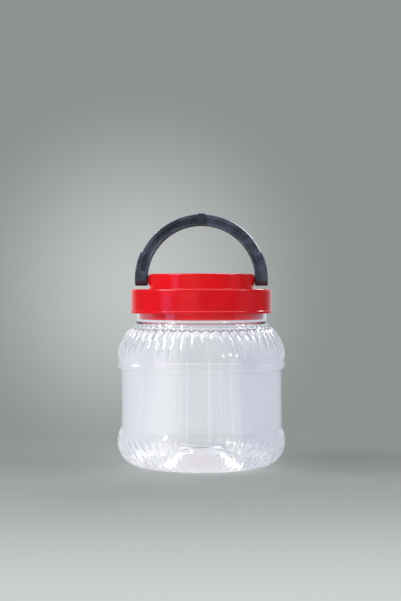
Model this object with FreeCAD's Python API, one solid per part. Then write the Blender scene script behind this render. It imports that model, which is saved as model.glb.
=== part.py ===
import FreeCAD, Part
import math
import os

Vector = FreeCAD.Vector

# All lengths in millimetres. The jar stands on its foot ring at Z = 0, its axis is Z,
# and the handle's pivot axis runs along X.

# Jar body, from the foot ring up
BODY_RADIUS = 83.5
PANEL_RADIUS = 80.4
BODY_WALL = 1.2
HEEL_ROUND = 23.0
HEEL_HEIGHT = 30.5
HEEL_STEP = 7.0
HEEL_BULGE_ROUND = 12.0
PANEL_HEIGHT = 56.8
PANEL_CORNER_ROUND = 1.5
SHOULDER_STEP = 2.2
SHOULDER_BULGE_ROUND = 3.5
SHOULDER_RISE = 27.1
SHOULDER_ROUND = 40.0
SHOULDER_SLOPE = 45.0

# Pushed-up base
FOOT_RING_WIDTH = 4.5
PUSH_UP_HEIGHT = 12.0
BUTTON_RADIUS = 22.0
BUTTON_DRAFT = 2.5
BUTTON_RISE = 6.5
BUTTON_ROUND = 2.5

# Neck
NECK_RADIUS = 64.8
NECK_WALL = 2.0
NECK_BASE_ROUND = 3.5
NECK_HEIGHT = 27.9

# Flutes moulded into the shoulder and the heel
FLUTE_COUNT = 48
FLUTE_DEPTH = 1.4
FLUTE_WIDTH = 9.2
FLUTE_EDGE = 0.15
FLUTE_LIFT = 0.3
FLUTE_RUN_OUT = 6.0
FLUTE_CUT_ROOM = 3.0
SECTOR_SIDE_TOLERANCE = 0.02
SHOULDER_FLUTE_END = 44.0
HEEL_FLUTE_MIDDLE = -40.0
HEEL_FLUTE_HALF_SPAN = 42.0

# Inner plug
PLUG_CLEARANCE = 0.3
PLUG_SHOWING = 6.36
PLUG_WALL = 1.6
PLUG_EDGE_ROUND = 2.4
FLANGE_THICKNESS = 1.6
FLANGE_CLEARANCE = 0.5

# Sealing ring
LINER_THICKNESS = 1.2
LINER_WIDTH = 14.0
SEAT_GAP = 0.02

# Screw lid
THREAD_ROOM = 3.4
LID_WALL = 2.0
NECK_SHOWING = 8.76
LID_EDGE_ROUND = 2.0
LIP_DEPTH = 0.7
LIP_HEIGHT = 2.2
TURRET_RADIUS = 52.6
TURRET_HEIGHT = 15.0
TURRET_ROUND = 1.8
TOP_RIM_WIDTH = 5.0
TOP_RECESS = 0.6
BEAD_DEPTH = 1.3
BEAD_DROP = 0.4
BEAD_HEIGHT = 2.0

# Handle pivots
PIVOT_DROP = 5.6
STUD_RADIUS = 2.3
STUD_CLEARANCE = 0.08
BOSS_RADIUS = 4.8
BOSS_LENGTH = 5.0
PAD_RADIUS = 4.4
PAD_HEIGHT = 0.5
STUD_HEAD_RADIUS = 2.8
STUD_HEAD_LENGTH = 1.6
STUD_HEAD_GAP = 0.4

# Handle
HANDLE_CLEARANCE = 0.8
BAND_WIDTH = 11.8
BAND_DEPTH = 12.0
BAND_ROUND = 1.2
PADDLE_PROUD = 1.2
PADDLE_ANGLE = 25.0
PADDLE_DEPTH = 12.6
PADDLE_END_ROUND = 1.0
FOOT_ROUND = 1.4
OUTER_RIM = 4.0
INNER_RIM = 1.6
WEB_THICKNESS = 9.0
CHANNEL_DRAFT = 1.4
CHANNEL_ROUND = 0.8
CHANNEL_FOOT_ANGLE = 8.0
KNUCKLE_WIDTH = 6.0
KNUCKLE_PROUD = 0.9

# Places worked out from the sizes above
FOOT_RADIUS = BODY_RADIUS - HEEL_ROUND
FOOT_INNER_RADIUS = FOOT_RADIUS - FOOT_RING_WIDTH
PANEL_BOTTOM = HEEL_HEIGHT + HEEL_STEP
PANEL_TOP = PANEL_BOTTOM + PANEL_HEIGHT
SHOULDER_BOTTOM = PANEL_TOP + SHOULDER_STEP
SHOULDER_CORNER = SHOULDER_BOTTOM + SHOULDER_RISE
SHOULDER_TAN = math.tan(math.radians(SHOULDER_SLOPE))
NECK_BASE = SHOULDER_CORNER + (BODY_RADIUS - NECK_RADIUS) * SHOULDER_TAN
NECK_BORE = NECK_RADIUS - NECK_WALL
RIM_HEIGHT = NECK_BASE + NECK_HEIGHT
FLANGE_TOP = RIM_HEIGHT + SEAT_GAP + FLANGE_THICKNESS
LEDGE_UNDERSIDE = FLANGE_TOP + SEAT_GAP + LINER_THICKNESS + SEAT_GAP
LEDGE_HEIGHT = LEDGE_UNDERSIDE + LID_WALL
LID_BOTTOM = NECK_BASE + NECK_SHOWING
LID_TOP = LEDGE_HEIGHT + TURRET_HEIGHT
LID_BORE = NECK_RADIUS + THREAD_ROOM
LID_RADIUS = LID_BORE + LID_WALL
FLANGE_RADIUS = LID_BORE - FLANGE_CLEARANCE
PIVOT_HEIGHT = LID_TOP - PIVOT_DROP
BAND_INNER_RADIUS = TURRET_RADIUS + HANDLE_CLEARANCE
BAND_OUTER_RADIUS = BAND_INNER_RADIUS + BAND_WIDTH
PIVOT = Vector(0, 0, PIVOT_HEIGHT)
UP = Vector(0, 0, 1)


def rounded_corner(before, corner, after, radius):
    """Start, middle and end of the arc that rounds one corner of an outline."""
    to_before = (before - corner).normalize()
    to_after = (after - corner).normalize()
    half_angle = to_before.getAngle(to_after) / 2
    setback = radius / math.tan(half_angle)
    inwards = (to_before + to_after).normalize()
    middle = corner + inwards * (radius / math.sin(half_angle) - radius)
    return corner + to_before * setback, middle, corner + to_after * setback


def outline_face(corners):
    """Closed face in the XZ plane from (x, z, rounding) corners."""
    points = [Vector(x, 0, z) for x, z, rounding in corners]
    starts, edges, ends = [], [], []
    for index, (x, z, rounding) in enumerate(corners):
        corner = points[index]
        if rounding > 0:
            following = points[(index + 1) % len(points)]
            start, middle, end = rounded_corner(points[index - 1], corner, following, rounding)
            edges.append(Part.Arc(start, middle, end).toShape())
        else:
            start = end = corner
        starts.append(start)
        ends.append(end)
    for index, end in enumerate(ends):
        start = starts[(index + 1) % len(starts)]
        edges.append(Part.LineSegment(end, start).toShape())
    return Part.Face(Part.Wire(Part.__sortEdges__(edges)))


def turned(corners):
    """Solid of revolution about the jar's axis."""
    return outline_face(corners).revolve(Vector(0, 0, 0), UP, 360)


def offset_outline(corners, walls):
    """Corners of the surface that lies one wall inside an outline.

    walls holds the thickness behind each stretch between two corners. The outline
    runs from the bottom upwards with the material on its left.
    """
    lines = []
    for (x0, z0, _), (x1, z1, _), wall in zip(corners, corners[1:], walls):
        length = math.hypot(x1 - x0, z1 - z0)
        along = ((x1 - x0) / length, (z1 - z0) / length)
        lines.append(((x0 - along[1] * wall, z0 + along[0] * wall), along))
    moved = [(corners[0][0], corners[0][1] + walls[0], 0)]
    for corner, wall, (place, along), (next_place, next_along) in zip(
            corners[1:], walls, lines, lines[1:]):
        turn = along[0] * next_along[1] - along[1] * next_along[0]
        gap = (next_place[0] - place[0], next_place[1] - place[1])
        reach = (gap[0] * next_along[1] - gap[1] * next_along[0]) / turn
        rounding = corner[2] - math.copysign(wall, turn) if corner[2] else 0
        moved.append((place[0] + along[0] * reach, place[1] + along[1] * reach, rounding))
    return moved


def flute_profile(valley_radius, wall):
    """Face of one flute's cutter: two rib flanks that meet at the valley.

    It lies in the XY plane with the valley, for no wall, at X = valley_radius. The
    cutter of the wall's inner side has the same rib centres and smaller rounds.
    """
    half_width = FLUTE_WIDTH / 2
    rise = FLUTE_DEPTH + FLUTE_EDGE
    rib_round = (half_width ** 2 + rise ** 2) / (2 * rise)
    flank_round = rib_round - wall
    rib_centre = valley_radius + rise - rib_round
    full_turn = math.asin(half_width / flank_round)

    def flank(turn, side):
        across = half_width - flank_round * math.sin(turn)
        return Vector(rib_centre + flank_round * math.cos(turn), side * across, 0)

    valley = flank(full_turn, 1)
    edges = []
    outer_ends = []
    for side in (1, -1):
        crest = flank(0, side)
        outer_ends.append(Vector(valley_radius + rise + FLUTE_CUT_ROOM, crest.y, 0))
        edges.append(Part.Arc(valley, flank(full_turn / 2, side), crest).toShape())
        edges.append(Part.LineSegment(crest, outer_ends[-1]).toShape())
    edges.append(Part.LineSegment(*outer_ends).toShape())
    return Part.Face(Part.Wire(Part.__sortEdges__(edges)))


def flute_cutter(centre, valley_radius, from_angle, to_angle, wall):
    """Flute profile swept round a centre in the XZ plane, angles up from +X."""
    profile = flute_profile(valley_radius, wall)
    profile.rotate(Vector(0, 0, 0), Vector(0, -1, 0), from_angle)
    return profile.translated(centre).revolve(centre, Vector(0, -1, 0), to_angle - from_angle)


def shoulder_flute(wall):
    """Cutter that starts at nothing on the bulge and is deepest by the neck."""
    slope = math.radians(SHOULDER_SLOPE)
    end = math.radians(SHOULDER_FLUTE_END)
    drop = (FLUTE_DEPTH + FLUTE_LIFT * math.cos(end)) / math.sin(end)
    round_centre = SHOULDER_CORNER - SHOULDER_ROUND * math.tan((math.pi / 2 - slope) / 2)
    centre = Vector(BODY_RADIUS - SHOULDER_ROUND + FLUTE_LIFT, 0, round_centre - drop)
    return flute_cutter(centre, SHOULDER_ROUND, 0, SHOULDER_FLUTE_END, wall)


def heel_flute(wall):
    """Cutter that is deepest half way round the heel and runs out at both ends."""
    middle = math.radians(HEEL_FLUTE_MIDDLE)
    half_span = math.radians(HEEL_FLUTE_HALF_SPAN)
    shift = FLUTE_DEPTH / (1 - math.cos(half_span))
    centre = Vector(FOOT_RADIUS, 0, HEEL_ROUND)
    centre -= Vector(math.cos(middle), 0, math.sin(middle)) * shift
    valley_radius = HEEL_ROUND + shift * math.cos(half_span)
    reach = HEEL_FLUTE_HALF_SPAN + FLUTE_RUN_OUT
    start, end = HEEL_FLUTE_MIDDLE - reach, HEEL_FLUTE_MIDDLE + reach
    return flute_cutter(centre, valley_radius, start, end, wall)


def fluted_sector(corners, wall):
    """One flute's share of a turned solid, with its flutes cut along the middle."""
    pitch = 360 / FLUTE_COUNT
    sector = outline_face(corners).revolve(Vector(0, 0, 0), UP, pitch)
    sector.rotate(Vector(0, 0, 0), UP, -pitch / 2)
    return sector.cut([shoulder_flute(wall), heel_flute(wall)])


def ring_of_sectors(sector):
    """Closed solid made of equal sectors side by side about the jar's axis."""
    half_pitch = math.radians(180 / FLUTE_COUNT)
    side_normal = Vector(math.sin(half_pitch), math.cos(half_pitch), 0)
    skins = []
    for face in sector.Faces:
        centre = face.CenterOfMass
        mirrored = Vector(centre.x, -abs(centre.y), centre.z)
        if abs(mirrored.dot(side_normal)) > SECTOR_SIDE_TOLERANCE:
            skins.append(face)
    ring = []
    for index in range(FLUTE_COUNT):
        for skin in skins:
            copy = skin.copy()
            copy.rotate(Vector(0, 0, 0), UP, index * 360 / FLUTE_COUNT)
            ring.append(copy)
    shell = Part.Compound(ring)
    shell.sewShape()
    return Part.Solid(shell.Shells[0])


def jar_body():
    """Blow-moulded jar: pushed-up base, round heel, panel, shoulder and neck."""
    button_top = PUSH_UP_HEIGHT + BUTTON_RISE
    outside = [
        (0, button_top, 0),
        (BUTTON_RADIUS, button_top, BUTTON_ROUND),
        (BUTTON_RADIUS + BUTTON_DRAFT, PUSH_UP_HEIGHT, BUTTON_ROUND),
        (FOOT_INNER_RADIUS, 0, BUTTON_ROUND),
        (BODY_RADIUS, 0, HEEL_ROUND),
        (BODY_RADIUS, HEEL_HEIGHT, HEEL_BULGE_ROUND),
        (PANEL_RADIUS, PANEL_BOTTOM, PANEL_CORNER_ROUND),
        (PANEL_RADIUS, PANEL_TOP, PANEL_CORNER_ROUND),
        (BODY_RADIUS, SHOULDER_BOTTOM, SHOULDER_BULGE_ROUND),
        (BODY_RADIUS, SHOULDER_CORNER, SHOULDER_ROUND),
        (NECK_RADIUS, NECK_BASE, NECK_BASE_ROUND),
        (NECK_RADIUS, RIM_HEIGHT, 0),
    ]
    walls = [BODY_WALL] * (len(outside) - 2) + [NECK_WALL]
    inside = offset_outline(outside, walls)
    inside.append((NECK_BORE, RIM_HEIGHT, 0))
    body = fluted_sector(outside + [(0, RIM_HEIGHT, 0)], 0)
    hollow = fluted_sector(inside + [(0, RIM_HEIGHT, 0)], BODY_WALL)
    return ring_of_sectors(body.cut(hollow))


def inner_plug():
    """Stopper cup: skirt in the neck bore, floor at its foot, flange over the rim."""
    skirt = NECK_BORE - PLUG_CLEARANCE
    foot = LID_BOTTOM - PLUG_SHOWING
    flange_foot = RIM_HEIGHT + SEAT_GAP
    return turned([
        (0, foot, 0),
        (skirt, foot, PLUG_EDGE_ROUND),
        (skirt, flange_foot, 0),
        (FLANGE_RADIUS, flange_foot, 0),
        (FLANGE_RADIUS, FLANGE_TOP, 0),
        (skirt - PLUG_WALL, FLANGE_TOP, 0),
        (skirt - PLUG_WALL, foot + PLUG_WALL, PLUG_EDGE_ROUND - PLUG_WALL),
        (0, foot + PLUG_WALL, 0),
    ])


def liner():
    """Flat sealing ring pressed between the plug's flange and the lid."""
    ring = Part.makeCylinder(FLANGE_RADIUS, LINER_THICKNESS)
    hole = Part.makeCylinder(FLANGE_RADIUS - LINER_WIDTH, LINER_THICKNESS)
    return ring.cut(hole).translated(Vector(0, 0, FLANGE_TOP + SEAT_GAP))


def lid_shell():
    """Two-tier cap: wide skirt with a foot lip and a bead, turret with a dished top."""
    lip_radius = LID_RADIUS + LIP_DEPTH
    lip_top = LID_BOTTOM + LIP_HEIGHT
    top_inner = TURRET_RADIUS - LID_WALL
    plate_top = LID_TOP - TOP_RECESS
    dish_radius = TURRET_RADIUS - TOP_RIM_WIDTH
    bead_radius = LID_BORE - BEAD_DEPTH
    bead_top = RIM_HEIGHT + SEAT_GAP - BEAD_DROP
    return turned([
        (0, plate_top, 0),
        (0, plate_top - LID_WALL, 0),
        (top_inner, plate_top - LID_WALL, LID_EDGE_ROUND),
        (top_inner, LEDGE_UNDERSIDE, 0),
        (LID_BORE, LEDGE_UNDERSIDE, 0),
        (LID_BORE, bead_top, 0),
        (bead_radius, bead_top - BEAD_HEIGHT / 4, 0),
        (bead_radius, bead_top - BEAD_HEIGHT / 2, 0),
        (LID_BORE, bead_top - BEAD_HEIGHT, 0),
        (LID_BORE, LID_BOTTOM, 0),
        (lip_radius, LID_BOTTOM, LIP_DEPTH / 2),
        (lip_radius, lip_top, LIP_DEPTH / 2),
        (LID_RADIUS, lip_top + LIP_DEPTH, 0),
        (LID_RADIUS, LEDGE_HEIGHT, LID_EDGE_ROUND),
        (TURRET_RADIUS, LEDGE_HEIGHT, LIP_DEPTH),
        (TURRET_RADIUS, LID_TOP, TURRET_ROUND),
        (dish_radius, LID_TOP, TOP_RECESS / 2),
        (dish_radius - TOP_RECESS, plate_top, TOP_RECESS / 2),
    ])


def along_x(radius, start, end, side):
    """Round bar on the pivot axis between two distances from the jar's axis."""
    bar = Part.makeCylinder(radius, end - start, Vector(start, 0, PIVOT_HEIGHT), Vector(1, 0, 0))
    return bar if side > 0 else bar.mirror(Vector(0, 0, 0), Vector(1, 0, 0))


def screw_lid():
    """Lid shell with a bored socket boss and a round pad at each handle pivot."""
    lid = lid_shell()
    inner_wall = TURRET_RADIUS - LID_WALL
    for side in (1, -1):
        boss = along_x(BOSS_RADIUS, TURRET_RADIUS - BOSS_LENGTH, inner_wall + LID_WALL / 2, side)
        pad = along_x(PAD_RADIUS, inner_wall + LID_WALL / 2, TURRET_RADIUS + PAD_HEIGHT, side)
        lid = lid.fuse([boss, pad])
    for side in (1, -1):
        lid = lid.cut(along_x(STUD_RADIUS + STUD_CLEARANCE, inner_wall - BOSS_LENGTH,
                              BAND_OUTER_RADIUS, side))
    return lid.removeSplitter()


def arch_sweep(corners, from_angle, to_angle):
    """Stretch of the arch from (radius, depth, rounding) corners, angles up from +X."""
    face = outline_face(corners)
    face.rotate(Vector(0, 0, 0), Vector(1, 0, 0), -90)
    sweep = face.revolve(Vector(0, 0, 0), Vector(0, -1, 0), to_angle - from_angle)
    sweep.rotate(Vector(0, 0, 0), Vector(0, -1, 0), from_angle)
    return sweep.translated(PIVOT)


def arch_bar(outer, depth, from_angle, to_angle):
    """Round-cornered bar along the arch, between the band's inner radius and outer."""
    half = depth / 2
    return arch_sweep([
        (BAND_INNER_RADIUS, -half, BAND_ROUND),
        (outer, -half, BAND_ROUND),
        (outer, half, BAND_ROUND),
        (BAND_INNER_RADIUS, half, BAND_ROUND),
    ], from_angle, to_angle)


def channels(from_angle, to_angle):
    """Recesses between the rims on both faces of the arch, wider at the face."""
    web_face = WEB_THICKNESS / 2
    cut_top = PADDLE_DEPTH / 2 + BAND_ROUND
    spread = CHANNEL_DRAFT * (cut_top - web_face) / (BAND_DEPTH / 2 - web_face)
    inner = BAND_INNER_RADIUS + INNER_RIM + CHANNEL_DRAFT
    outer = BAND_OUTER_RADIUS - OUTER_RIM - CHANNEL_DRAFT
    front = arch_sweep([
        (inner, web_face, CHANNEL_ROUND),
        (outer, web_face, CHANNEL_ROUND),
        (outer + spread, cut_top, 0),
        (inner - spread, cut_top, 0),
    ], from_angle, to_angle)
    return [front, front.mirror(Vector(0, 0, 0), Vector(0, 1, 0))]


def paddle(side):
    """Solid end of the arch with its round foot, pivot stud and snap head."""
    outer = BAND_OUTER_RADIUS + PADDLE_PROUD
    start = 0 if side > 0 else 180 - PADDLE_ANGLE
    blade = arch_bar(outer, PADDLE_DEPTH, start, start + PADDLE_ANGLE)
    ends = [face for face in blade.Faces if isinstance(face.Surface, Part.Plane)]
    upper_end = max(ends, key=lambda face: face.CenterOfMass.z)
    blade = blade.makeFillet(PADDLE_END_ROUND, upper_end.Edges)
    foot = along_x(PADDLE_DEPTH / 2, BAND_INNER_RADIUS, outer, side)
    rims = [edge for edge in foot.Edges if isinstance(edge.Curve, Part.Circle)]
    foot = foot.makeFillet(FOOT_ROUND, rims)
    head_start = TURRET_RADIUS - BOSS_LENGTH - STUD_HEAD_GAP - STUD_HEAD_LENGTH
    stud = along_x(STUD_RADIUS, head_start, BAND_INNER_RADIUS + FOOT_ROUND, side)
    head = Part.makeCone(STUD_RADIUS - STUD_CLEARANCE, STUD_HEAD_RADIUS, STUD_HEAD_LENGTH,
                         Vector(head_start, 0, PIVOT_HEIGHT), Vector(1, 0, 0))
    if side < 0:
        head = head.mirror(Vector(0, 0, 0), Vector(1, 0, 0))
    return [blade, foot, stud, head]


def handle():
    """Carry handle: I-section arch, centre knuckle, paddles and pivot studs."""
    half_knuckle = math.degrees(KNUCKLE_WIDTH / BAND_INNER_RADIUS) / 2
    arch = arch_bar(BAND_OUTER_RADIUS, BAND_DEPTH, 0, 180)
    knuckle_start, knuckle_end = 90 - half_knuckle, 90 + half_knuckle
    knuckle = arch_bar(BAND_OUTER_RADIUS + KNUCKLE_PROUD, BAND_DEPTH, knuckle_start, knuckle_end)
    bar = arch.fuse([knuckle] + paddle(1) + paddle(-1))
    recesses = channels(CHANNEL_FOOT_ANGLE, knuckle_start)
    recesses += channels(knuckle_end, 180 - CHANNEL_FOOT_ANGLE)
    return bar.cut(recesses).removeSplitter()


PIECES = {
    "jar": jar_body,
    "inner_plug": inner_plug,
    "liner": liner,
    "screw_lid": screw_lid,
    "handle": handle,
}

os.makedirs("parts", exist_ok=True)
for name, make in PIECES.items():
    shape = make()
    shape.exportStep("parts/" + name + ".step")
    print(name, shape.isValid(), len(shape.Solids), round(shape.Volume / 1000, 1), "cm3")
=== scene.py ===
"""Clear wide-mouth storage jar with a red screw lid, an inner stopper and a carry handle."""

from __future__ import annotations

import logging
import math
from collections.abc import Callable
from dataclasses import dataclass, field
from enum import Enum

import bpy
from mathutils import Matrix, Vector


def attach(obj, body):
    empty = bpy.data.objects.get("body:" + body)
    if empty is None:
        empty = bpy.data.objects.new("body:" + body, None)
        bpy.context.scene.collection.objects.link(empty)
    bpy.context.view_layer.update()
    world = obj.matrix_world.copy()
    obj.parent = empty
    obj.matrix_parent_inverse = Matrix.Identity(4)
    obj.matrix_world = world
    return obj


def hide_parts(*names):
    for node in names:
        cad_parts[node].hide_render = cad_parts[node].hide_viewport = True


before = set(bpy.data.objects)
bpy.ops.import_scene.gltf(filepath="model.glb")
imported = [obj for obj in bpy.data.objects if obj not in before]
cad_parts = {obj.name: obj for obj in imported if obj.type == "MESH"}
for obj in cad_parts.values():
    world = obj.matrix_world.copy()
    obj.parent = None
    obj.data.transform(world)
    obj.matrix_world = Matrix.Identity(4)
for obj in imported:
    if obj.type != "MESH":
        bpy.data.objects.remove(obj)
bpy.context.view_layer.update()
LOG = logging.getLogger("storage_jar")

Corner = tuple[float, float, float]
Outline = list[tuple[float, float]]
Colour = tuple[float, float, float, float]
Span = tuple[float, float]
Triple = tuple[float, float, float]
Piece = bpy.types.Object
Material = bpy.types.Material
Node = bpy.types.Node
Socket = bpy.types.NodeSocket
Outputs = bpy.types.bpy_prop_collection
Weighing = Callable[[float, float, float], float]
MM = 0.001
MERGE_DISTANCE = MM / 1000
TURN = 2 * math.pi


class Body(Enum):
    """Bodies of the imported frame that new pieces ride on."""

    JAR = "jar"
    LID = "lid"


class Slot(Enum):
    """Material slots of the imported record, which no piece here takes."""

    CLEAR = "clear_pet"
    RED = "red_plastic"


# ---- modelling helpers


def deselect_all() -> None:
    """Leave object mode with nothing selected."""
    if bpy.context.mode != "OBJECT":
        bpy.ops.object.mode_set(mode="OBJECT")
    bpy.ops.object.select_all(action="DESELECT")


def pick(piece: Piece) -> None:
    """Select one piece alone and make it the active one.

    Args:
        piece: the object to select.
    """
    deselect_all()
    piece.select_set(True)
    bpy.context.view_layer.objects.active = piece


def apply_modifier(piece: Piece, kind: str, **settings: object) -> None:
    """Add one modifier to a piece and apply it.

    Args:
        piece: the mesh object.
        kind: the modifier's type, such as SOLIDIFY.
        settings: attributes set on the modifier before it is applied.
    """
    pick(piece)
    modifier = piece.modifiers.new(kind.lower(), kind)
    for key, value in settings.items():
        setattr(modifier, key, value)
    bpy.ops.object.modifier_apply(modifier=modifier.name)


def smooth(piece: Piece, degrees: float) -> None:
    """Shade a piece smooth except at edges sharper than an angle."""
    pick(piece)
    bpy.ops.object.shade_smooth_by_angle(angle=math.radians(degrees))


def arc_points(before: Corner, corner: Corner, after: Corner, arc_step: float) -> Outline:
    """Points of the arc that rounds one corner of an outline.

    Args:
        before: corner before this one, as radius, height and rounding.
        corner: the corner to round.
        after: the corner after it.
        arc_step: longest distance between two points of the arc.

    Returns:
        The arc's points, or the corner itself if it is sharp.
    """
    rounding = corner[2]
    if rounding == 0:
        return [corner[:2]]
    here = Vector(corner[:2])
    to_before = (Vector(before[:2]) - here).normalized()
    to_after = (Vector(after[:2]) - here).normalized()
    half_angle = to_before.angle(to_after) / 2
    bisector = (to_before + to_after).normalized()
    centre = here + bisector * (rounding / math.sin(half_angle))
    spoke = here + to_before * (rounding / math.tan(half_angle)) - centre
    turn = (math.pi - 2 * half_angle) * -math.copysign(1, to_before.cross(to_after))
    steps = max(2, math.ceil(abs(turn) * rounding / arc_step))
    points: Outline = []
    for step in range(steps + 1):
        cosine = math.cos(turn * step / steps)
        sine = math.sin(turn * step / steps)
        points.append((
            centre.x + spoke.x * cosine - spoke.y * sine,
            centre.y + spoke.x * sine + spoke.y * cosine,
        ))
    return points


def rounded_outline(corners: list[Corner], arc_step: float) -> Outline:
    """Turn corners with roundings into the points of an outline.

    Args:
        corners: corners as radius, height and rounding.
        arc_step: longest distance between two points of an arc.

    Returns:
        The outline's points.
    """
    points: Outline = [corners[0][:2]]
    for before, corner, after in zip(corners, corners[1:], corners[2:]):
        points.extend(arc_points(before, corner, after, arc_step))
    points.append(corners[-1][:2])
    return points


def filled_out(outline: Outline, low: float, high: float, step: float) -> Outline:
    """Add points to the stretches of an outline that lie between two heights.

    Args:
        outline: points as radius and height.
        low: height where the added points start.
        high: height where they stop.
        step: longest distance left between two points there.

    Returns:
        The outline with its added points.
    """
    filled: Outline = [outline[0]]
    for (radius, height), (next_radius, next_height) in zip(outline, outline[1:]):
        length = math.hypot(next_radius - radius, next_height - height)
        inside = low <= min(height, next_height) and max(height, next_height) <= high
        pieces = max(1, math.ceil(length / step)) if inside else 1
        for index in range(1, pieces + 1):
            share = index / pieces
            filled.append((
                radius + (next_radius - radius) * share,
                height + (next_height - height) * share,
            ))
    return filled


def turned_sheet(name: str, outline: Outline, segments: int) -> Piece:
    """Draw an outline point by point and spin it about the jar's axis.

    Args:
        name: the new piece's name.
        outline: points as radius and height, starting on the axis.
        segments: columns of faces around the axis.

    Returns:
        An open sheet with its faces pointing outwards.
    """
    deselect_all()
    bpy.ops.mesh.primitive_plane_add(size=MM)
    sheet = bpy.context.object
    sheet.name = name
    sheet.data.name = name
    bpy.ops.object.mode_set(mode="EDIT")
    bpy.ops.mesh.select_all(action="SELECT")
    bpy.ops.mesh.merge(type="CENTER")
    bpy.ops.transform.translate(value=(outline[0][0], 0, outline[0][1]))
    for (radius, height), (next_radius, next_height) in zip(outline, outline[1:]):
        step = (next_radius - radius, 0, next_height - height)
        bpy.ops.mesh.extrude_vertices_move(TRANSFORM_OT_translate={"value": step})
    bpy.ops.mesh.select_all(action="SELECT")
    bpy.ops.mesh.spin(steps=segments, angle=TURN, center=(0, 0, 0), axis=(0, 0, 1))
    bpy.ops.mesh.select_all(action="SELECT")
    bpy.ops.mesh.remove_doubles(threshold=MERGE_DISTANCE)
    bpy.ops.mesh.normals_make_consistent(inside=False)
    bpy.ops.object.mode_set(mode="OBJECT")
    return sheet


def weigh(piece: Piece, group_name: str, weight_of: Weighing) -> None:
    """Give a piece a vertex group whose weights follow the place of each vertex.

    Args:
        piece: the mesh object.
        group_name: name of the new vertex group.
        weight_of: function of radius, angle and height that gives a weight; over 1 counts as 1.
    """
    group = piece.vertex_groups.new(name=group_name)
    for vertex in piece.data.vertices:
        place = vertex.co
        weight = weight_of(place.xy.length, math.atan2(place.y, place.x), place.z)
        if weight > 0:
            group.add([vertex.index], min(weight, 1), "REPLACE")


def smoothstep(low: float, high: float, value: float) -> float:
    """Ease from 0 at low to 1 at high."""
    share = min(max((value - low) / (high - low), 0), 1)
    return share * share * (3 - 2 * share)


def adopt(piece: Piece, body: Body, material: Material) -> None:
    """Dress a new piece and let it ride on its body.

    Args:
        piece: the new piece.
        body: the body that carries it.
        material: its finish.
    """
    piece.data.materials.clear()
    piece.data.materials.append(material)
    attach(piece, body.value)
    LOG.info("%s rides on %s", piece.name, body.value)


def dress_node(name: str, material: Material) -> None:
    """Give a CAD node its finish.

    Args:
        name: the node's name.
        material: its finish.
    """
    for material_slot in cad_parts[name].material_slots:
        material_slot.material = material
    LOG.info("%s is dressed in %s", name, material.name)


# ---- finishes


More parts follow.
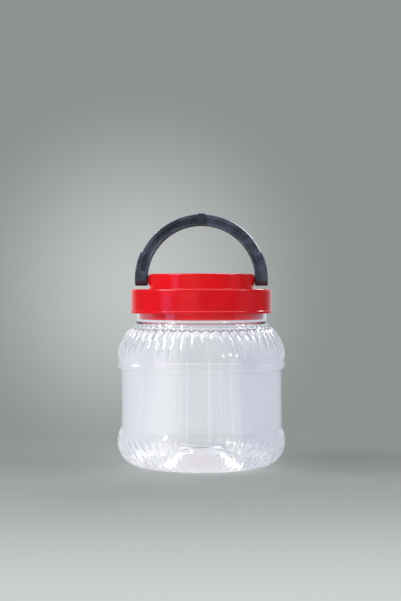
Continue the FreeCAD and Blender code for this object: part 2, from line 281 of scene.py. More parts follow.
class Graph:
    """Adds nodes to one node tree and links them."""

    def __init__(self, tree: bpy.types.NodeTree) -> None:
        """Keep the tree that nodes are added to."""
        self.tree = tree

    def add(self, kind: str, **settings: object) -> Node:
        """Add a node and set its attributes.

        Args:
            kind: the node's type, without the word ShaderNode.
            settings: attributes set on the node.

        Returns:
            The node.
        """
        node = self.tree.nodes.new("ShaderNode" + kind)
        for key, value in settings.items():
            setattr(node, key, value)
        return node

    def feed(self, target: Socket, source: object) -> None:
        """Link an output to an input, or set the input to a value.

        Args:
            target: the input.
            source: the output or the value.
        """
        if isinstance(source, Socket):
            self.tree.links.new(source, target)
        else:
            target.default_value = source

    def feed_all(self, node: Node, sources: dict[str, object]) -> None:
        """Feed several inputs of a node, each with an output or a value."""
        for name, source in sources.items():
            self.feed(node.inputs[name], source)

    def fed(self, kind: str, **sources: object) -> Outputs:
        """Add a node and feed its inputs.

        Args:
            kind: the node's type, without the word ShaderNode.
            sources: an output or a value for each named input.

        Returns:
            The node's outputs.
        """
        node = self.add(kind)
        self.feed_all(node, sources)
        return node.outputs

    def noise(self, vector: Socket, scale: float | Socket, detail: float,
              roughness: float = 0.5) -> Socket:
        """Noise texture read at a vector, as its value output."""
        return self.fed("TexNoise", Vector=vector, Scale=scale, Detail=detail,
                        Roughness=roughness)["Fac"]

    def math(self, operation: str, first: Socket, second: Socket) -> Socket:
        """Math on two outputs.

        Args:
            operation: the node's operation.
            first: one output.
            second: the other.

        Returns:
            The result.
        """
        node = self.add("Math", operation=operation)
        self.feed(node.inputs[0], first)
        self.feed(node.inputs[1], second)
        return node.outputs[0]

    def ramp(self, value: Socket, span: Span, start: float = 0, end: float = 1) -> Socket:
        """Ease from start to end while a value crosses a span.

        Args:
            value: the output that is mapped.
            span: where the result leaves start and where it reaches end.
            start: the result below the span.
            end: the result above it.

        Returns:
            The result.
        """
        node = self.add("MapRange", interpolation_type="SMOOTHSTEP")
        names = ("Value", "From Min", "From Max", "To Min", "To Max")
        self.feed_all(node, dict(zip(names, (value, *span, start, end))))
        return node.outputs["Result"]

    def blend(self, factor: Socket, first: Colour | Socket, second: Colour | Socket) -> Socket:
        """Mix two colours by a mask.

        Args:
            factor: the mask.
            first: colour or output shown where the mask is 0.
            second: colour or output shown where it is 1.

        Returns:
            The mixed colour.
        """
        node = self.add("Mix", data_type="RGBA")
        self.feed(node.inputs["Factor"], factor)
        sockets = [socket for socket in node.inputs if socket.type == "RGBA"]
        for socket, colour in zip(sockets, (first, second)):
            self.feed(socket, colour)
        return next(socket for socket in node.outputs if socket.type == "RGBA")

    def object_vector(self, scale: Triple = (1, 1, 1)) -> Socket:
        """Object coordinates stretched along the axes."""
        coordinates = self.add("TexCoord").outputs["Object"]
        return self.fed("Mapping", Vector=coordinates, Scale=scale)["Vector"]

    def bump(self, height: Socket, distance: float) -> Socket:
        """Normal bent by a height, where distance is the depth in metres of a height of 1."""
        return self.fed("Bump", Height=height, Distance=distance, Strength=1)["Normal"]

    def vector_math(self, operation: str, vector: Socket, other: Vector | None = None) -> Outputs:
        """Vector math on an output and, where it takes one, a fixed vector.

        Args:
            operation: the node's operation.
            vector: the output.
            other: the fixed vector.

        Returns:
            The outputs Vector and Value.
        """
        node = self.add("VectorMath", operation=operation)
        self.feed(node.inputs[0], vector)
        if other is not None:
            self.feed(node.inputs[1], other)
        return node.outputs

    def mix_shaders(self, factor: Socket, first: Socket, second: Socket) -> Socket:
        """Mix two shaders by a mask.

        Args:
            factor: the mask.
            first: shader shown where the mask is 0.
            second: shader shown where it is 1.

        Returns:
            The mixed shader.
        """
        node = self.add("MixShader")
        for target, source in zip(node.inputs, (factor, first, second)):
            self.feed(target, source)
        return node.outputs["Shader"]

    def show(self, shader: Socket) -> None:
        """Make a shader the material's surface."""
        self.feed(self.tree.nodes["Material Output"].inputs["Surface"], shader)


class MouldedSkin:
    """Shared node group: the slow waves, fine grain and handling scuffs of moulded plastic."""

    NAME = "moulded_skin"
    SCUFFED = (0.52, 0.72)

    @classmethod
    def tree(cls) -> bpy.types.NodeTree:
        """Build the group the first time it is asked for.

        Returns:
            The group.
        """
        if cls.NAME in bpy.data.node_groups:
            return bpy.data.node_groups[cls.NAME]
        tree = bpy.data.node_groups.new(cls.NAME, "ShaderNodeTree")
        tree.interface.new_socket("Vector", in_out="INPUT", socket_type="NodeSocketVector")
        for name in ("Wave Scale", "Grain Scale", "Grain Share", "Scuff Scale"):
            tree.interface.new_socket(name, in_out="INPUT", socket_type="NodeSocketFloat")
        for name in ("Height", "Scuffs", "Flow"):
            tree.interface.new_socket(name, in_out="OUTPUT", socket_type="NodeSocketFloat")
        graph = Graph(tree)
        given = tree.nodes.new("NodeGroupInput").outputs
        result = tree.nodes.new("NodeGroupOutput").inputs
        waves = graph.noise(given["Vector"], given["Wave Scale"], detail=1)
        grain = graph.noise(given["Vector"], given["Grain Scale"], detail=3, roughness=0.6)
        share_of_grain = graph.math("MULTIPLY", grain, given["Grain Share"])
        graph.feed(result["Height"], graph.math("ADD", waves, share_of_grain))
        patches = graph.noise(given["Vector"], given["Scuff Scale"], detail=6, roughness=0.72)
        graph.feed(result["Scuffs"], graph.ramp(patches, cls.SCUFFED))
        graph.feed(result["Flow"], graph.noise(given["Vector"], given["Wave Scale"], detail=4))
        return tree

    @classmethod
    def place(cls, graph: Graph, sources: dict[str, object]) -> Outputs:
        """Place the group in a material.

        Args:
            graph: the material's graph.
            sources: an output or a value for each input of the group.

        Returns:
            The group's outputs.
        """
        node = graph.add("Group")
        node.node_tree = cls.tree()
        graph.feed_all(node, sources)
        return node.outputs


def new_material(name: str) -> tuple[Material, Graph, Node]:
    """Material with one Principled shader.

    Args:
        name: the material's name.

    Returns:
        The material, the graph of its nodes and the shader.
    """
    material = bpy.data.materials.new(name)
    material.use_nodes = True
    graph = Graph(material.node_tree)
    return material, graph, material.node_tree.nodes["Principled BSDF"]


@dataclass(frozen=True)
class MouldedPlastic:
    """What every moulded finish here has: two tones, waves with grain on them, and scuffs."""

    name: str
    tone: Colour
    flow_tone: Colour
    flow: Span
    smooth_roughness: float
    scuffed_roughness: float
    relief: float
    wave_scale: float
    grain_scale: float
    grain_share: float
    scuff_scale: float
    stretch: Triple = (1, 1, 1)

    def material(self) -> Material:
        """Build the finish.

        Returns:
            The material.
        """
        material, graph, shader = new_material(self.name)
        skin = MouldedSkin.place(graph, {
            "Vector": graph.object_vector(self.stretch),
            "Wave Scale": self.wave_scale,
            "Grain Scale": self.grain_scale,
            "Grain Share": self.grain_share,
            "Scuff Scale": self.scuff_scale,
        })
        flow, scuffs = graph.ramp(skin["Flow"], self.flow), skin["Scuffs"]
        graph.feed_all(shader, {
            "Base Color": graph.blend(flow, self.tone, self.flow_tone),
            "Roughness": graph.ramp(scuffs, (0, 1), self.smooth_roughness, self.scuffed_roughness),
            "Normal": graph.bump(skin["Height"], self.relief),
        })
        self.complete(graph, shader)
        return material

    def complete(self, graph: Graph, shader: Node) -> None:
        """Add what one finish has beyond the others; an opaque one needs nothing."""


@dataclass(frozen=True)
class ClearPlastic(MouldedPlastic):
    """Clear blow-moulded polyester with a faint cool toner and a slight haze."""

    name: str = "clear_polyester_body"
    tone: Colour = (0.985, 0.988, 0.994, 1)
    flow_tone: Colour = (0.965, 0.970, 0.988, 1)
    flow: Span = (0.35, 0.65)
    smooth_roughness: float = 0.01
    scuffed_roughness: float = 0.05
    relief: float = 0.00012
    wave_scale: float = 26
    grain_scale: float = 240
    grain_share: float = 0.03
    scuff_scale: float = 90
    stretch: Triple = (1, 1, 0.22)
    transmission: float = 0.97
    refraction: float = 1.5

    def complete(self, graph: Graph, shader: Node) -> None:
        """Make it clear, and let light from the lamps reach what is behind or inside it.

        Args:
            graph: the material's graph.
            shader: its Principled shader.
        """
        graph.feed_all(shader, {"Transmission Weight": self.transmission, "IOR": self.refraction})
        shadow = graph.add("LightPath").outputs["Is Shadow Ray"]
        open_way = graph.fed("BsdfTransparent", Color=self.tone)["BSDF"]
        graph.show(graph.mix_shaders(shadow, shader.outputs["BSDF"], open_way))


@dataclass(frozen=True)
class RedPlastic(MouldedPlastic):
    """Glossy injection-moulded red plastic."""

    name: str = "glossy_red_plastic"
    tone: Colour = (0.70, 0.002, 0.007, 1)
    flow_tone: Colour = (0.80, 0.003, 0.010, 1)
    flow: Span = (0.3, 0.7)
    smooth_roughness: float = 0.15
    scuffed_roughness: float = 0.24
    relief: float = 0.0004
    wave_scale: float = 38
    grain_scale: float = 900
    grain_share: float = 0.02
    scuff_scale: float = 120


@dataclass(frozen=True)
class SlatePlastic(MouldedPlastic):
    """Satin blue-black plastic with pale flow marks, as recycled plastic has."""

    name: str = "slate_black_plastic"
    tone: Colour = (0.020, 0.030, 0.042, 1)
    flow_tone: Colour = (0.055, 0.068, 0.098, 1)
    flow: Span = (0.38, 0.66)
    smooth_roughness: float = 0.24
    scuffed_roughness: float = 0.42
    relief: float = 0.00003
    wave_scale: float = 70
    grain_scale: float = 1400
    grain_share: float = 0.5
    scuff_scale: float = 210


@dataclass(frozen=True)
class WhiteFoam:
    """Soft closed-cell foam of the sealing ring."""

    light: Colour = (0.86, 0.86, 0.84, 1)
    shade: Colour = (0.72, 0.72, 0.70, 1)
    roughness: float = 0.8
    cell_scale: float = 1800
    cell_depth: float = 0.0002

    def material(self) -> Material:
        """Build the finish.

        Returns:
            The material.
        """
        material, graph, shader = new_material("white_cell_foam")
        vector = graph.object_vector()
        distance = graph.fed("TexVoronoi", Vector=vector, Scale=self.cell_scale)["Distance"]
        graph.feed_all(shader, {
            # Painted shade: each cell is darker at its middle, where the bump sinks it.
            "Base Color": graph.blend(distance, self.shade, self.light),
            "Roughness": self.roughness,
            "Normal": graph.bump(distance, self.cell_depth),
        })
        return material


# ---- screw thread


@dataclass(frozen=True)
class ScrewThread:
    """Two-start right-hand thread that the neck and the lid share."""

    starts: int = 2
    lead: float = 12 * MM
    half_root: float = 1.25 * MM
    half_crest: float = 0.5 * MM

    def distance(self, angle: float, height: float, start: int, foot: float,
                 turn: float) -> float | None:
        """Height above the middle of one ridge, or None where the ridge doesn't run.

        Args:
            angle: angle about the jar's axis.
            height: height of the place asked for.
            start: number of the ridge.
            foot: height of the ridge's middle at its lower end.
            turn: angle that the ridge runs through.

        Returns:
            The distance in metres.
        """
        along = (angle - start * TURN / self.starts) % TURN
        if along > turn:
            return None
        return height - foot - self.lead * along / TURN

    def ease(self, angle: float, start: int, turn: float, run_out: float) -> float:
        """Share of its full height that one ridge has at an angle."""
        along = (angle - start * TURN / self.starts) % TURN
        return smoothstep(0, run_out, along) * smoothstep(0, run_out, turn - along)


# ---- jar


@dataclass(frozen=True)
class BlownJar:
    """Blow-moulded jar: pushed-up base, round heel, panel, fluted shoulder, threaded neck.

    Where the heel's ribs grow and fade is given in degrees below the level of its arc's centre.
    """

    body_radius: float = 83.5 * MM
    panel_radius: float = 80.4 * MM
    wall: float = 1.2 * MM
    button_radius: float = 22 * MM
    button_draft: float = 2.5 * MM
    button_top: float = 18.5 * MM
    push_up: float = 12 * MM
    foot_inner: float = 56 * MM
    foot_round: float = 2.5 * MM
    heel_round: float = 23 * MM
    heel_height: float = 30.5 * MM
    heel_bulge: float = 12 * MM
    panel_bottom: float = 37.5 * MM
    panel_top: float = 94.3 * MM
    panel_round: float = 1.5 * MM
    shoulder_bottom: float = 96.5 * MM
    shoulder_bulge: float = 3.5 * MM
    shoulder_corner: float = 123.6 * MM
    shoulder_round: float = 40 * MM
    neck_radius: float = 64.8 * MM
    neck_wall: float = 2 * MM
    neck_base: float = 142.3 * MM
    neck_base_round: float = 3.5 * MM
    rim_height: float = 170.2 * MM
    columns_per_flute: int = 9
    flutes: int = 48
    flute_depth: float = 1.5 * MM
    rib_arc: float = 0.975
    rib_run_in: float = 10 * MM
    heel_flute_share: float = 0.65
    heel_ribs_grow: Span = (0, 24)
    heel_ribs_fade: Span = (62, 84)
    scallop_height: float = 133.4 * MM
    scallop_reach: float = 3.2 * MM
    scallop_edge: float = 0.9 * MM
    flare_step: float = 1.3
    arc_step: float = 2.1 * MM
    panel_row: float = 12 * MM
    shoulder_row: float = 2.2 * MM
    scallop_row: float = 0.55 * MM
    scallop_margin: float = 3 * MM
    thread_row: float = 0.78 * MM
    thread_low: float = 152.2 * MM
    thread_high: float = 166.4 * MM
    thread_foot: float = 155 * MM
    thread_turn: float = math.radians(235)
    thread_height: float = 2.2 * MM
    thread_run_out: float = math.radians(14)
    surface_tolerance: float = 0.1 * MM
    sharp_edge_degrees: float = 55
    thread: ScrewThread = ScrewThread()

    def corners(self) -> list[Corner]:
        """Corners of the outer surface from the base's centre to the rim.

        Returns:
            The corners as radius, height and rounding.
        """
        return [
            (0, self.button_top, 0),
            (self.button_radius, self.button_top, self.foot_round),
            (self.button_radius + self.button_draft, self.push_up, self.foot_round),
            (self.foot_inner, 0, self.foot_round),
            (self.body_radius, 0, self.heel_round),
            (self.body_radius, self.heel_height, self.heel_bulge),
            (self.panel_radius, self.panel_bottom, self.panel_round),
            (self.panel_radius, self.panel_top, self.panel_round),
            (self.body_radius, self.shoulder_bottom, self.shoulder_bulge),
            (self.body_radius, self.shoulder_corner, self.shoulder_round),
            (self.neck_radius, self.neck_base, self.neck_base_round),
            (self.neck_radius, self.thread_low, 0),
            (self.neck_radius, self.thread_high, 0),
            (self.neck_radius, self.rim_height, 0),
        ]

    def outline(self) -> Outline:
        """Outer outline, with close rows where the flutes end and where the thread runs.

        Returns:
            The outline's points.
        """
        outline = rounded_outline(self.corners(), self.arc_step)
        for low, high, row in (
            (self.panel_bottom, self.panel_top, self.panel_row),
            (self.shoulder_bottom, self.shoulder_corner, self.shoulder_row),
            (self.scallop_height - self.scallop_margin, self.neck_base, self.scallop_row),
            (self.thread_low, self.thread_high, self.thread_row),
        ):
            outline = filled_out(outline, low, high, row)
        return outline

    def flute_share(self, angle: float) -> float:
        """Place across one rib: 0 at its crest and 1 at the valley beside it."""
        pitch = TURN / self.flutes
        return abs((angle / pitch) % 1 - 0.5) * 2

    def rib_fall(self, across: float) -> float:
        """Fall below a rib's crest, from 0 there to 1 in the valley, along a circle's arc."""
        fall = 1 - math.sqrt(1 - (self.rib_arc * across) ** 2)
        return fall / (1 - math.sqrt(1 - self.rib_arc ** 2))

    def shoulder_depth(self, angle: float, height: float) -> float:
        """Depth below the rib crests on the shoulder.

        Args:
            angle: angle about the jar's axis.
            height: height of the place.

        Returns:
            The depth as a share of the flute depth.
        """
        across = self.flute_share(angle)
        rib = self.rib_fall(across)
        foot = self.shoulder_bottom + self.rib_run_in
        grown = min(max((height - foot) / (self.scallop_height - foot), 0), 1)
        edge = self.scallop_height + self.scallop_reach * math.sqrt(1 - across ** 2)
        beyond = smoothstep(edge, edge + self.scallop_edge, height)
        flare = self.flare_step * (1 - smoothstep(edge + self.scallop_edge, self.neck_base, height))
        return rib * grown * (1 - beyond) + flare * beyond

    def heel_depth(self, radius: float, angle: float, height: float) -> float:
        """Depth below the rib crests on the heel.

        Args:
            radius: distance from the jar's axis.
            angle: angle about it.
            height: height of the place.

        Returns:
            The depth as a share of the flute depth.
        """
        rib = self.rib_fall(self.flute_share(angle))
        centre_radius = self.body_radius - self.heel_round
        down = math.degrees(math.atan2(self.heel_round - height, radius - centre_radius))
        grown = smoothstep(*self.heel_ribs_grow, down)
        return self.heel_flute_share * rib * grown * (1 - smoothstep(*self.heel_ribs_fade, down))

    def depth(self, radius: float, angle: float, height: float) -> float:
        """Weight of the flutes at one place of the outer surface.

        Args:
            radius: distance from the jar's axis.
            angle: angle about it.
            height: height of the place.

        Returns:
            The weight.
        """
        if radius < self.body_radius - self.heel_round or height > self.neck_base:
            return 0
        if height > self.panel_top:
            return self.shoulder_depth(angle, height)
        if height < self.heel_round:
            return self.heel_depth(radius, angle, height)
        return 0

    def thread_weight(self, radius: float, angle: float, height: float) -> float:
        """Weight of the thread at one place of the neck's outer surface.

        Args:
            radius: distance from the jar's axis.
            angle: angle about it.
            height: height of the place.

        Returns:
            The weight.
        """
        on_neck = radius >= self.neck_radius - self.surface_tolerance
        if not on_neck or not self.thread_low < height < self.thread_high:
            return 0
        weight = 0.0
        for start in range(self.thread.starts):
            distance = self.thread.distance(
                angle, height, start, self.thread_foot, self.thread_turn)
            if distance is not None:
                flank = smoothstep(self.thread.half_root, self.thread.half_crest, abs(distance))
                ease = self.thread.ease(angle, start, self.thread_turn, self.thread_run_out)
                weight = max(weight, flank * ease)
        return weight

    def build(self, body_finish: ClearPlastic, neck_finish: ClearPlastic) -> None:
        """Make the jar's body, wall and thread.

        Args:
            body_finish: finish up to the ribs' upper edge.
            neck_finish: finish above it.
        """
        columns = self.flutes * self.columns_per_flute
        jar = turned_sheet("jar_body", self.outline(), columns)
        weigh(jar, "flutes", self.depth)
        apply_modifier(jar, "DISPLACE", mid_level=0, strength=-self.flute_depth,
                       vertex_group="flutes")
        weigh(jar, "neck", lambda radius, angle, height: float(height > self.neck_base))
        apply_modifier(jar, "SOLIDIFY", thickness=self.neck_wall, offset=-1, use_even_offset=True,
                       use_rim=True, vertex_group="neck",
                       thickness_vertex_group=self.wall / self.neck_wall)
        weigh(jar, "thread", self.thread_weight)
        apply_modifier(jar, "DISPLACE", mid_level=0, strength=self.thread_height,
                       vertex_group="thread")
        jar.vertex_groups.clear()
        smooth(jar, self.sharp_edge_degrees)
        adopt(jar, Body.JAR, body_finish.material())
        jar.data.materials.append(neck_finish.material())
        neck_start = self.scallop_height + self.scallop_reach
        for face in jar.data.polygons:
            face.material_index = int(face.center.z > neck_start)
        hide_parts("jar")


# ---- lid


@dataclass(frozen=True)
class LidThread:
    """Ridges inside the lid's skirt that run between those of the neck."""

    root_radius: float = 68.4 * MM
    crest_radius: float = 65.7 * MM
    foot: float = 152.6 * MM
    turn: float = math.radians(215)
    step: float = math.radians(4)
    run_out_steps: int = 6
    sink_share: float = 0.98
    sharp_edge_degrees: float = 40
    thread: ScrewThread = ScrewThread()

    def build(self, material: Material) -> None:
        """Make one ridge for each start of the thread.

        Args:
            material: the lid's finish.
        """
        for start in range(self.thread.starts):
            ridge = self.ridge(start)
            smooth(ridge, self.sharp_edge_degrees)
            adopt(ridge, Body.LID, material)

    def ridge(self, start: int) -> Piece:
        """Extrude one trapezium along the helix, and let its ends run out.

        Args:
            start: number of the ridge.

        Returns:
            The ridge.
        """
        deselect_all()
        depth = self.root_radius - self.crest_radius
        middle = (self.root_radius + self.crest_radius) / 2
        bpy.ops.mesh.primitive_plane_add(size=1, rotation=(math.pi / 2, 0, 0),
                                         location=(middle, 0, self.foot))
        ridge = bpy.context.object
        ridge.name = f"lid_thread_{start + 1}"
        ridge.data.name = ridge.name
        ridge.scale = (depth, 2 * self.thread.half_root, 1)
        bpy.ops.object.transform_apply(location=True, rotation=True, scale=True)
        for vertex in ridge.data.vertices:
            vertex.select = vertex.co.x < middle
        bpy.ops.object.mode_set(mode="EDIT")
        squeeze = self.thread.half_crest / self.thread.half_root
        bpy.ops.mesh.select_mode(type="EDGE")
        bpy.ops.transform.resize(value=(1, 1, squeeze), center_override=(middle, 0, self.foot))
        bpy.ops.mesh.select_mode(type="FACE")
        bpy.ops.mesh.select_all(action="SELECT")
        self.follow_helix()
        bpy.ops.mesh.select_all(action="SELECT")
        bpy.ops.mesh.normals_make_consistent(inside=False)
        bpy.ops.transform.rotate(value=-start * TURN / self.thread.starts, orient_axis="Z",
                                 center_override=(0, 0, 0))
        bpy.ops.object.mode_set(mode="OBJECT")
        self.sink_ends(ridge, start)
        return ridge

    def follow_helix(self) -> None:
        """Extrude the selected face step by step round the axis and up."""
        steps = round(self.turn / self.step)
        rise = self.thread.lead * self.step / TURN
        for _ in range(steps):
            bpy.ops.mesh.extrude_region_move(TRANSFORM_OT_translate={"value": (0, 0, rise)})
            bpy.ops.transform.rotate(value=-self.step, orient_axis="Z", center_override=(0, 0, 0))

    def sink_ends(self, ridge: Piece, start: int) -> None:
        """Let both ends of a ridge run out into the skirt.

        Args:
            ridge: the ridge.
            start: its number.
        """
        run_out = self.run_out_steps * self.step

        def sunk(radius: float, angle: float, height: float) -> float:
            """Share by which a vertex of the ridge's crest is sunk into the skirt.

            Args:
                radius: distance from the jar's axis.
                angle: angle about it.
                height: height of the vertex, which changes nothing.

            Returns:
                The share.
            """
            if radius > (self.root_radius + self.crest_radius) / 2:
                return 0
            return 1 - self.thread.ease(angle, start, self.turn, run_out)

        weigh(ridge, "ends", sunk)
        for vertex in ridge.data.vertices:
            weights = [element.weight for element in vertex.groups]
            if weights:
                radius = vertex.co.xy.length
                reach = (self.root_radius - radius) * self.sink_share * weights[0]
                vertex.co.xy = vertex.co.xy * ((radius + reach) / radius)
        ridge.vertex_groups.clear()


# ---- studio


@dataclass(frozen=True)
class Softbox:
    """Rectangular lamp aimed at the jar, which may light one piece only.

    Azimuth and elevation are in degrees, seen from the jar, and azimuth 0 is the camera's side.
    """

    name: str
    azimuth: float
    elevation: float
    distance: float
    width: float
    height: float
    radiance: float
    colour: Triple = (1, 1, 1)
    lighting: bool = True
    mirrored: bool = True
    seen_through: bool = True
    lit_piece: str = ""

    def place(self, target: Vector) -> None:
        """Hang the lamp at its angles round the target.

        Args:
            target: the point that it is aimed at.
        """
        angle, lift = math.radians(self.azimuth), math.radians(self.elevation)
        flat = math.cos(lift)
        away = Vector((math.sin(angle) * flat, -math.cos(angle) * flat, math.sin(lift)))
        data = bpy.data.lights.new(self.name, "AREA")
        data.shape = "RECTANGLE"
        data.size = self.width
        data.size_y = self.height
        data.energy = self.radiance * math.pi * self.width * self.height
        data.color = self.colour
        lamp = bpy.data.objects.new(self.name, data)
        lamp.location = target + away * self.distance
        lamp.visible_camera = False
        lamp.visible_diffuse = self.lighting
        lamp.visible_glossy = self.mirrored
        lamp.visible_transmission = self.seen_through
        lamp.rotation_euler = (-away).to_track_quat("-Z", "Y").to_euler()
        bpy.context.scene.collection.objects.link(lamp)
        if self.lit_piece:
            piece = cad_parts.get(self.lit_piece) or bpy.data.objects[self.lit_piece]
            receivers = bpy.data.collections.new(self.name)
            receivers.objects.link(piece)
            lamp.light_linking.receiver_collection = receivers


@dataclass(frozen=True)
class Studio:
    """Grey stage that looks white through the clear plastic, with lamps and a camera.

    The stage is painted by the direction in which the set camera sees it: the bands by how far it
    points to the right, near_sight by how far down. The floor's spans are metres from the jar's axis.
    """

    floor_radius: float = 2.6
    wall_height: float = 2.6
    stage_points: int = 96
    edge_tone: Colour = (0.27, 0.287, 0.283, 1)
    glow_tone: Colour = (0.53, 0.555, 0.548, 1)
    near_tone: Colour = (0.62, 0.645, 0.64, 1)
    bounce_tone: Colour = (0.60, 0.61, 0.62, 1)
    front_tone: Colour = (0.12, 0.12, 0.125, 1)
    glow_direction: Vector = field(default_factory=lambda: Vector((-0.0472, 0.9989, 0)))
    glow_reach: float = 0.159
    near_sight: Span = (-0.245, -0.108)
    far_floor: Span = (0.12, 0.45)
    close_floor: Span = (0.07, 0.12)
    front_to_back: Span = (-0.5, 0.8)
    floor_light: float = 1.05
    floor_roughness: float = 0.9
    floor_shine: float = 0.1
    # Painted light seen through the clear plastic: lighter at the left, with a lighter upright band
    # as a painted highlight, darker and lilac at the right as a painted bluish reflection, pale
    # streaks of painted light, and a whiter floor under the jar as a painted pool of light.
    through_left: Colour = (0.79, 0.815, 0.87, 1)
    through_highlight_band: Colour = (0.85, 0.875, 0.90, 1)
    through_middle: Colour = (0.655, 0.69, 0.72, 1)
    through_right: Colour = (0.575, 0.605, 0.70, 1)
    through_light_streak: Colour = (0.95, 0.96, 1.0, 1)
    through_floor_light_pool: Colour = (0.80, 0.80, 0.83, 1)
    band_start: Span = (-0.043, -0.039)
    band_fade: Span = (-0.030, -0.008)
    right_start: Span = (0.031, 0.034)
    streak_scale: float = 220
    streaked: Span = (0.48, 0.66)
    streak_share: float = 0.32
    world_tone: Colour = (0.97, 0.98, 1, 1)
    world_level: float = 0.78
    world_right: float = 0.66
    world_top: float = 0.5
    mirrored_front: float = 0.12
    mirrored_back: float = 0.8
    left_to_right: Span = (-0.9, 0.9)
    level_to_top: Span = (0.35, 0.9)
    mirrored_turn: Span = (0.6, 1.0)
    lamp_target: Vector = field(default_factory=lambda: Vector((0, 0, 0.13)))
    bounces: int = 32
    glossy_bounces: int = 16
    camera_place: Vector = field(default_factory=lambda: Vector((-0.0009, -1.3, 0.176)))
    sensor_width: float = 36
    focal_pixels: float = 1300
    frame_height_pixels: float = 601
    horizon_above_middle: float = 12.5

    def build(self) -> None:
        """Make the stage, the lamps, the world and the camera."""
        self.lay_floor()
        self.raise_wall()
        self.light_world()
        for lamp in self.lamps():
            lamp.place(self.lamp_target)
        self.set_camera()
        scene = bpy.context.scene
        scene.view_settings.view_transform = "Standard"
        scene.cycles.max_bounces = self.bounces
        scene.cycles.transmission_bounces = self.bounces
        scene.cycles.glossy_bounces = self.glossy_bounces

    def lamps(self) -> list[Softbox]:
        """Key at the left, weaker panels at the right, strips behind, ceiling above.

        Some lamps are for one piece. Those for the jar show only as reflections on it.

        Returns:
            The lamps, each with its azimuth, elevation, distance, width, height and radiance.
        """
        on_jar = {"lighting": False, "seen_through": False, "lit_piece": "jar_body"}
        violet, lilac, pale_lilac = (0.74, 0.45, 1.0), (0.75, 0.70, 1.0), (0.86, 0.86, 1.0)
        return [
            Softbox("key_left", -57, 37, 1.4, 0.26, 0.52, 8.0),
            Softbox("front_fill", -22, 4, 1.8, 1.2, 0.5, 4.6, mirrored=False, seen_through=False),
            Softbox("window_left", -57, 3, 1.6, 0.50, 0.70, 1.0, violet),
            Softbox("key_right", 84, 42, 1.5, 0.40, 0.70, 1.5),
            Softbox("cool_right", 76, 2, 1.6, 0.9, 0.9, 0.2, lilac),
            Softbox("rim_left", -84, 47, 1.5, 0.34, 0.30, 20.0),
            Softbox("rim_right", 90, 45, 1.5, 0.22, 0.22, 16.0),
            Softbox("back_left", -160, 34, 1.6, 0.4, 0.3, 3.0),
            Softbox("back_right", 155, 34, 1.6, 1.0, 0.22, 8.0),
            Softbox("heel_right", 40, 13, 1.6, 0.24, 0.20, 14.0, **on_jar),
            Softbox("veil_left", -112, 50, 1.6, 1.1, 0.8, 3.2, **on_jar),
            Softbox("veil_right", 112, 50, 1.6, 1.1, 0.8, 2.2, **on_jar),
            Softbox("ceiling", 0, 90, 1.2, 1.4, 1.1, 2.0, lighting=False),
            Softbox("plug_fill", -12, -2, 1.6, 1.2, 0.5, 13.0, mirrored=False,
                    lit_piece="inner_plug"),
            Softbox("handle_line", -80, 50, 1.2, 0.6, 0.9, 14.0, pale_lilac, lit_piece="handle"),
            Softbox("handle_edge", 108, 42, 1.1, 1.0, 0.7, 20.0, lit_piece="handle"),
        ]

    def sight(self, graph: Graph) -> Socket:
        """Direction from the camera to the place that is shaded.

        Args:
            graph: the material's graph.

        Returns:
            The unit vector.
        """
        place = graph.add("TexCoord").outputs["Object"]
        offset = graph.vector_math("SUBTRACT", place, self.camera_place)["Vector"]
        return graph.vector_math("NORMALIZE", offset)["Vector"]

    def glow(self, graph: Graph, sight: Socket) -> Socket:
        """Pale glow beside the jar that fades to the edge tone."""
        apart = graph.vector_math("DISTANCE", sight, self.glow_direction)["Value"]
        return graph.blend(graph.ramp(apart, (0, self.glow_reach)), self.glow_tone, self.edge_tone)

    def through(self, graph: Graph, sight: Socket, close: Socket | None = None) -> Socket:
        """White sweep in upright bands of painted light, seen only through clear plastic.

        Args:
            graph: the material's graph.
            sight: direction from the camera.
            close: mask of the floor under the jar, painted whiter as a pool of light.

        Returns:
            The sweep's colour.
        """
        across = graph.fed("SeparateXYZ", Vector=sight)["X"]
        line = graph.fed("CombineXYZ", X=across)["Vector"]
        band = graph.ramp(across, self.band_start)
        # Painted light: lighter at the left, on the key lamp's side, then a lighter upright band as a
        # painted highlight, then darker towards the middle.
        tone = graph.blend(band, self.through_left, self.through_highlight_band)
        tone = graph.blend(graph.ramp(across, self.band_fade), tone, self.through_middle)
        # Painted light: pale upright streaks across the sweep, from noise that varies only from left
        # to right.
        grain = graph.noise(line, self.streak_scale, detail=3)
        light_streaks = graph.ramp(grain, self.streaked, 0, self.streak_share)
        tone = graph.blend(light_streaks, tone, self.through_light_streak)
        # Painted pool of light: the floor close under the jar is whiter.
        if close is not None:
            tone = graph.blend(close, tone, self.through_floor_light_pool)
        # Painted reflection: darker and lilac at the right, for a bluish light from that side.
        return graph.blend(graph.ramp(across, self.right_start), tone, self.through_right)

    def lay_floor(self) -> None:
        """Round floor, lit near the jar and painted like the wall further out."""
        deselect_all()
        bpy.ops.mesh.primitive_circle_add(
            vertices=self.stage_points, radius=self.floor_radius, fill_type="NGON")
        floor = bpy.context.object
        floor.name = "floor"
        material, graph, shader = new_material("stage_floor")
        sight = self.sight(graph)
        down = graph.fed("SeparateXYZ", Vector=sight)["Z"]
        near = graph.ramp(down, self.near_sight, 1, 0)
        paint = graph.blend(near, self.glow(graph, sight), self.near_tone)
        path = graph.add("LightPath").outputs
        unlit = graph.add("VectorMath", operation="SCALE")
        graph.feed(unlit.inputs[0], paint)
        graph.feed(unlit.inputs["Scale"], 1 / self.floor_light)
        graph.feed_all(shader, {
            "Base Color": graph.blend(
                path["Is Camera Ray"], self.bounce_tone, unlit.outputs["Vector"]),
            "Roughness": self.floor_roughness,
            "Specular IOR Level": self.floor_shine,
        })
        from_jar = graph.vector_math("LENGTH", graph.add("TexCoord").outputs["Object"])["Value"]
        far = graph.ramp(from_jar, self.far_floor)
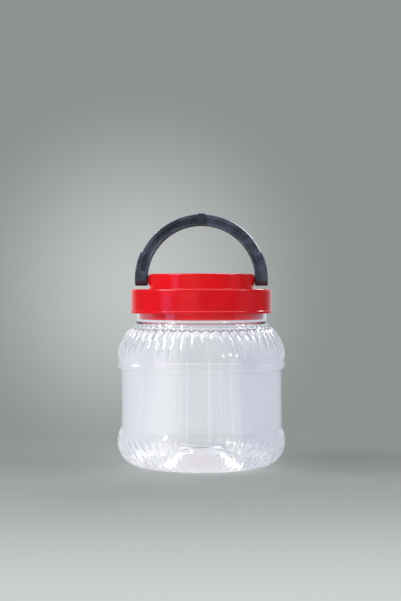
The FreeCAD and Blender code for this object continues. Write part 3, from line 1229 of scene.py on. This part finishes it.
        # Painted pool of light: seen through the plastic, the floor close under the jar is whiter.
        close = graph.ramp(from_jar, self.close_floor, 1, 0)
        painted = graph.fed("Emission", Color=paint)["Emission"]
        seen = graph.mix_shaders(far, shader.outputs["BSDF"], painted)
        sweep = graph.fed("Emission", Color=self.through(graph, sight, close))["Emission"]
        graph.show(graph.mix_shaders(path["Is Transmission Ray"], seen, sweep))
        floor.data.materials.append(material)

    def raise_wall(self) -> None:
        """Round backdrop that is seen but lights nothing."""
        deselect_all()
        bpy.ops.mesh.primitive_circle_add(vertices=self.stage_points, radius=self.floor_radius)
        wall = bpy.context.object
        wall.name = "backdrop"
        bpy.ops.object.mode_set(mode="EDIT")
        bpy.ops.mesh.select_all(action="SELECT")
        up = (0, 0, self.wall_height)
        bpy.ops.mesh.extrude_edges_move(TRANSFORM_OT_translate={"value": up})
        bpy.ops.object.mode_set(mode="OBJECT")
        material, graph, _ = new_material("backdrop_paint")
        sight = self.sight(graph)
        place = graph.add("TexCoord").outputs["Object"]
        depth = graph.fed("SeparateXYZ", Vector=place)["Y"]
        behind = graph.ramp(depth, self.front_to_back)
        sweep = graph.blend(behind, self.front_tone, self.through(graph, sight))
        path = graph.add("LightPath").outputs
        tone = graph.blend(path["Is Transmission Ray"], self.glow(graph, sight), sweep)
        graph.show(graph.fed("Emission", Color=tone)["Emission"])
        wall.data.materials.append(material)
        wall.visible_diffuse = False
        wall.visible_glossy = False
        wall.visible_shadow = False

    def light_world(self) -> None:
        """Soft light from all round, weaker from the right and from above.

        What the pieces mirror and what is seen through them has levels of its own.
        """
        world = bpy.data.worlds.new("soft_room")
        world.use_nodes = True
        graph = Graph(world.node_tree)
        around = graph.add("TexCoord").outputs["Generated"]
        direction = graph.fed("SeparateXYZ", Vector=around)
        mirrored = graph.ramp(
            direction["Y"], self.mirrored_turn, self.mirrored_front, self.mirrored_back)
        lit = graph.ramp(direction["X"], self.left_to_right, self.world_level,
                         self.world_level * self.world_right)
        dimmed = graph.ramp(direction["Z"], self.level_to_top, 1, self.world_top)
        path = graph.add("LightPath").outputs
        seen = graph.math("MAXIMUM", path["Is Glossy Ray"], path["Is Transmission Ray"])
        level = graph.fed("Mix", Factor=seen, A=graph.math("MULTIPLY", lit, dimmed), B=mirrored)
        graph.feed_all(world.node_tree.nodes["Background"], {
            "Color": self.world_tone,
            "Strength": level["Result"],
        })
        bpy.context.scene.world = world

    def set_camera(self) -> None:
        """Camera level with the lid, framed a little low."""
        data = bpy.data.cameras.new("camera")
        data.sensor_width = self.sensor_width
        data.lens = data.sensor_width * self.focal_pixels / self.frame_height_pixels
        data.shift_y = -self.horizon_above_middle / self.frame_height_pixels
        camera = bpy.data.objects.new("camera", data)
        camera.location = self.camera_place
        camera.rotation_euler = (math.pi / 2, 0, 0)
        bpy.context.scene.collection.objects.link(camera)
        bpy.context.scene.camera = camera


def main() -> None:
    """Build and dress every piece, then the studio."""
    logging.basicConfig(level=logging.INFO, format="%(message)s")
    red = RedPlastic().material()
    neck_finish = ClearPlastic(name="clear_polyester_neck", transmission=1.0)
    BlownJar().build(ClearPlastic(), neck_finish)
    dress_node("inner_plug", red)
    dress_node("liner", WhiteFoam().material())
    dress_node("screw_lid", red)
    LidThread().build(red)
    dress_node("handle", SlatePlastic().material())
    Studio().build()


if __name__ == "__main__":
    main()
